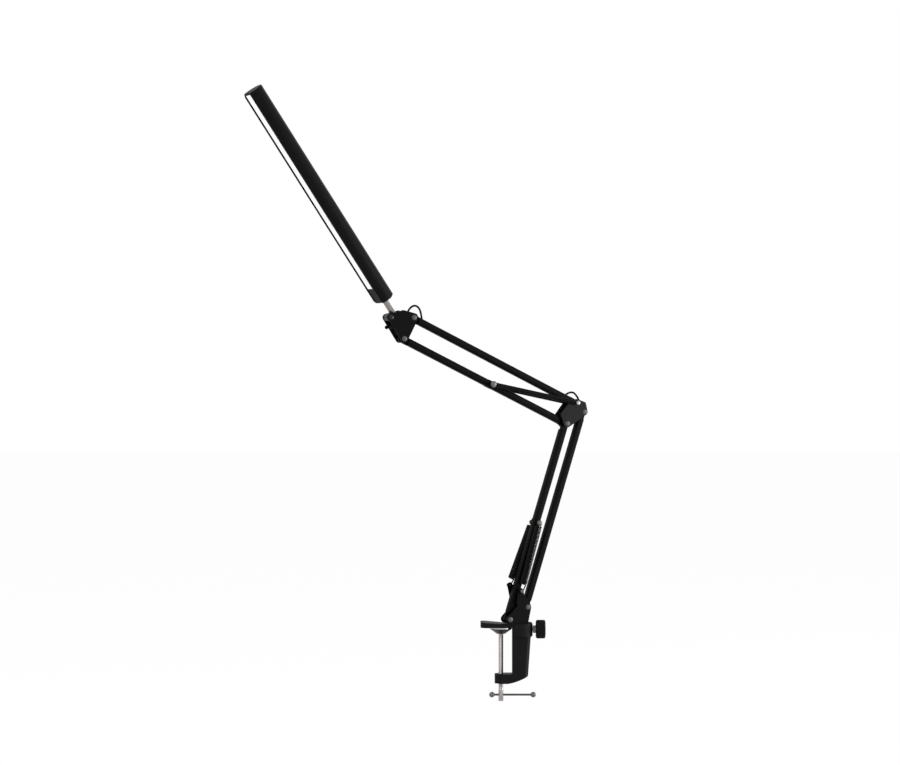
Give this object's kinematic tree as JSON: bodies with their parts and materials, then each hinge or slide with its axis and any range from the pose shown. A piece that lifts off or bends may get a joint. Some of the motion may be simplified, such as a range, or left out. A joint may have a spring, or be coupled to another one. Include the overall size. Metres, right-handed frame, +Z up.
{
  "type": "desk lamp",
  "caption": "Spring-balanced swing-arm desk lamp with a straight LED bar head, parallelogram arms and a table clamp.",
  "frame": {"origin": "middle of the upper jaw's underside, on the clamp screw's axis, where the table top sits", "axes": "+Z up, +X from the screw towards the clamp column and the lock knob"},
  "size_m": [0.4754, 0.2575, 0.8529],
  "materials": {
    "black_paint": "satin black paint",
    "rivet_steel": "plated",
    "chrome": "nickel",
    "black_spring": "blacked wire",
    "black_plastic": "matte",
    "clamp_casting": "satin paint",
    "head_aluminium": "black anodised",
    "diffuser": "opal",
    "led_board": "solder mask",
    "led_chip": "phosphor",
    "cable": "satin"
  },
  "bodies": {
    "clamp": {"clamp_frame": "clamp_casting"},
    "foot": {"pressure_foot": "rivet_steel"},
    "screw": {"clamp_screw": "chrome"},
    "tommy": {"tommy_bar": "chrome", "tommy_balls": "chrome"},
    "lock": {"lock_screw": "chrome", "lock_knob": "black_plastic"},
    "base": {"base_bracket": "black_paint", "base_post": "chrome", "base_front_pin": "rivet_steel", "base_rear_pin": "rivet_steel", "base_spacers": "black_plastic", "spring_stud_near": "black_paint", "spring_stud_far": "black_paint"},
    "lower_front": {"lower_front_tube": "black_paint", "lower_spring_anchor": "black_paint", "lower_spring_near": "black_spring", "lower_spring_far": "black_spring"},
    "lower_rear": {"lower_rear_tube": "black_paint"},
    "elbow": {"elbow_plate_near": "black_paint", "elbow_plate_far": "black_paint", "elbow_pin": "rivet_steel", "elbow_rear_pin": "rivet_steel", "elbow_top_pin": "rivet_steel", "elbow_spacers": "black_plastic", "elbow_cable_clip": "black_plastic"},
    "upper_top": {"upper_top_tube": "black_paint", "elbow_cable": "cable", "head_cable": "cable"},
    "upper_bottom": {"upper_bottom_tube": "black_paint", "upper_spring_anchor": "rivet_steel", "upper_spring_near": "black_spring", "upper_spring_far": "black_spring"},
    "head_bracket": {"head_plate_near": "black_paint", "head_plate_far": "black_paint", "head_upper_pin": "rivet_steel", "head_lower_pin": "rivet_steel", "tilt_bolt": "rivet_steel", "head_spacers": "black_plastic", "head_cable_clip": "black_plastic"},
    "neck": {"neck_knuckle": "chrome", "neck_rod": "chrome"},
    "head": {"head_housing": "head_aluminium", "tip_cap": "black_plastic", "neck_cap": "black_plastic", "blank_panel": "black_plastic", "diffuser": "diffuser", "led_board": "led_board", "led_chips": "led_chip"}
  },
  "joints": [
    {"name": "base_swivel", "type": "hinge", "parent": "clamp", "child": "base", "pos_m": [0.0285, 0, 0], "axis": [0, 0, 1], "range_deg": [-140, 85]},
    {"name": "lower_arm", "type": "hinge", "parent": "base", "child": "lower_front", "pos_m": [0.0089, -0.00999, 0.0122], "axis": [0.454, -0.891, 0], "range_deg": [-20, 50], "deforming": ["lower_spring_near", "lower_spring_far"]},
    {"name": "lower_rear_link", "type": "hinge", "parent": "base", "child": "lower_rear", "pos_m": [0.03441, 0.00301, 0.0286], "axis": [0.454, -0.891, 0], "range_deg": [-20, 50]},
    {"name": "elbow_level", "type": "hinge", "parent": "lower_front", "child": "elbow", "pos_m": [0.09177, 0.03224, 0.28857], "axis": [0.454, -0.891, 0], "range_deg": [-50, 20]},
    {"name": "upper_arm", "type": "hinge", "parent": "elbow", "child": "upper_top", "pos_m": [0.10516, 0.03906, 0.31806], "axis": [0.454, -0.891, 0], "range_deg": [-55, 38], "deforming": ["elbow_cable"]},
    {"name": "upper_bottom_link", "type": "hinge", "parent": "elbow", "child": "upper_bottom", "pos_m": [0.09177, 0.03224, 0.28857], "axis": [0.454, -0.891, 0], "range_deg": [-55, 38], "deforming": ["upper_spring_near", "upper_spring_far"]},
    {"name": "head_level", "type": "hinge", "parent": "upper_top", "child": "head_bracket", "pos_m": [-0.12571, -0.07857, 0.43724], "axis": [0.454, -0.891, 0], "range_deg": [-38, 55], "deforming": ["head_cable"]},
    {"name": "head_tilt", "type": "hinge", "parent": "head_bracket", "child": "neck", "pos_m": [-0.15716, -0.0946, 0.43724], "axis": [0.454, -0.891, 0], "range_deg": [-50, 95]},
    {"name": "head_roll", "type": "hinge", "parent": "neck", "child": "head", "pos_m": [-0.16261, -0.09738, 0.46093], "axis": [-0.5136, -0.2617, 0.8171], "range_deg": [-150, 150]},
    {"name": "foot_slide", "type": "slide", "parent": "clamp", "child": "foot", "axis": [0, 0, -1], "range_m": [0, 0.05]},
    {"name": "screw_turn", "type": "hinge", "parent": "foot", "child": "screw", "pos_m": [0, 0, -0.096], "axis": [0, 0, 1], "range_deg": [0, 11980]},
    {"name": "tommy_slide", "type": "slide", "parent": "screw", "child": "tommy", "axis": [1, 0, 0], "range_m": [-0.038, 0.005]},
    {"name": "lock_turn", "type": "hinge", "parent": "clamp", "child": "lock", "pos_m": [0.05, 0, -0.003], "axis": [1, 0, 0], "range_deg": [0, 180]}
  ],
  "couplings": [
    {"joint": "lower_rear_link", "follows": "lower_arm", "ratio": 1},
    {"joint": "elbow_level", "follows": "lower_arm", "ratio": -1},
    {"joint": "upper_bottom_link", "follows": "upper_arm", "ratio": 1},
    {"joint": "head_level", "follows": "upper_arm", "ratio": -1},
    {"joint": "foot_slide", "follows": "screw_turn", "m_per_rad": 0.00023873}
  ]
}
